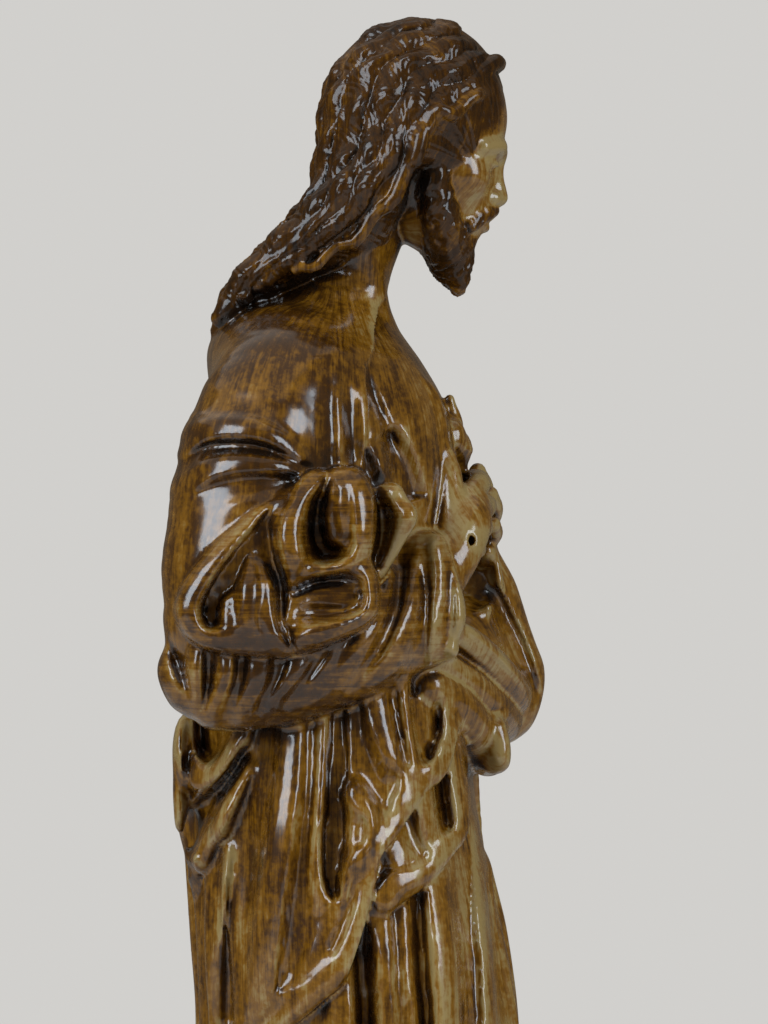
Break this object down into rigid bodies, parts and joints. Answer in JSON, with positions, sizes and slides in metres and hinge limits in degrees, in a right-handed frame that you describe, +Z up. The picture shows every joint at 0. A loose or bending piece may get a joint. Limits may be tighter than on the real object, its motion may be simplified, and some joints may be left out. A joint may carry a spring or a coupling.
{
  "type": "religious statue",
  "caption": "Standing robed and bearded figure with long hair, hands at the breast and a mantle bunched over the forearm, on a low moulded base.",
  "frame": {"origin": "middle of the base's underside", "axes": "+Z up; the figure faces -Y and its right hand side is -X"},
  "size_m": [0.1948, 0.168, 0.6238],
  "materials": {
    "statue": "brown glaze brushed over ochre in a wood grain, glossy varnish"
  },
  "bodies": {
    "root": {"statue": "statue"}
  },
  "joints": []
}
